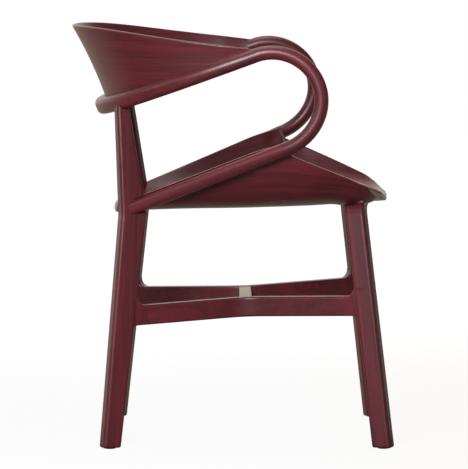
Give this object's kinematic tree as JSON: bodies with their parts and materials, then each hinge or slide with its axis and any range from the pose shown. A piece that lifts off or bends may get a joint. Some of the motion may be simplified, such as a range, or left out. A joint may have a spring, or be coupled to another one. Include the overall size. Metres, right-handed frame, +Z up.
{
  "type": "dining armchair",
  "caption": "Dining armchair with a moulded seat shell and wrap-round back shell on bent-wood rails, loop arms, splayed legs and side stretchers joined by a metal bar.",
  "frame": {"origin": "floor level, at the centre of the chair's length and width", "axes": "+Z up, the chair faces -Y, +X is the sitter's left"},
  "size_m": [0.5704, 0.593, 0.7676],
  "materials": {
    "stained_wood": "burgundy stain under satin lacquer, open grain",
    "stained_plywood": "burgundy-stained veneer under satin lacquer",
    "satin_metal": "satin",
    "zinc_steel": "bright zinc",
    "raw_beech": "unfinished",
    "nylon": "matte"
  },
  "bodies": {
    "root": {"arm_bend_left": "stained_wood", "arm_bend_right": "stained_wood", "arm_lower_dowel_left": "raw_beech", "arm_lower_dowel_right": "raw_beech", "arm_upper_dowel_left": "raw_beech", "arm_upper_dowel_right": "raw_beech", "back_rail": "stained_wood", "back_shell": "stained_plywood", "cross_bar": "satin_metal", "cross_bar_stud_left": "zinc_steel", "cross_bar_stud_right": "zinc_steel", "front_foot_glide_left": "nylon", "front_foot_glide_right": "nylon", "front_leg_dowels_left": "raw_beech", "front_leg_dowels_right": "raw_beech", "front_leg_left": "stained_wood", "front_leg_right": "stained_wood", "front_stretcher_tenon_left": "raw_beech", "front_stretcher_tenon_right": "raw_beech", "rear_foot_glide_left": "nylon", "rear_foot_glide_right": "nylon", "rear_leg_left": "stained_wood", "rear_leg_right": "stained_wood", "rear_leg_top_dowels_left": "raw_beech", "rear_leg_top_dowels_right": "raw_beech", "rear_stretcher_tenon_left": "raw_beech", "rear_stretcher_tenon_right": "raw_beech", "seat_edge_dowel_left": "raw_beech", "seat_edge_dowel_right": "raw_beech", "seat_shell": "stained_plywood", "side_rail_dowel_left": "raw_beech", "side_rail_dowel_right": "raw_beech", "side_rail_left": "stained_wood", "side_rail_right": "stained_wood", "stretcher_left": "stained_wood", "stretcher_right": "stained_wood"}
  },
  "joints": []
}
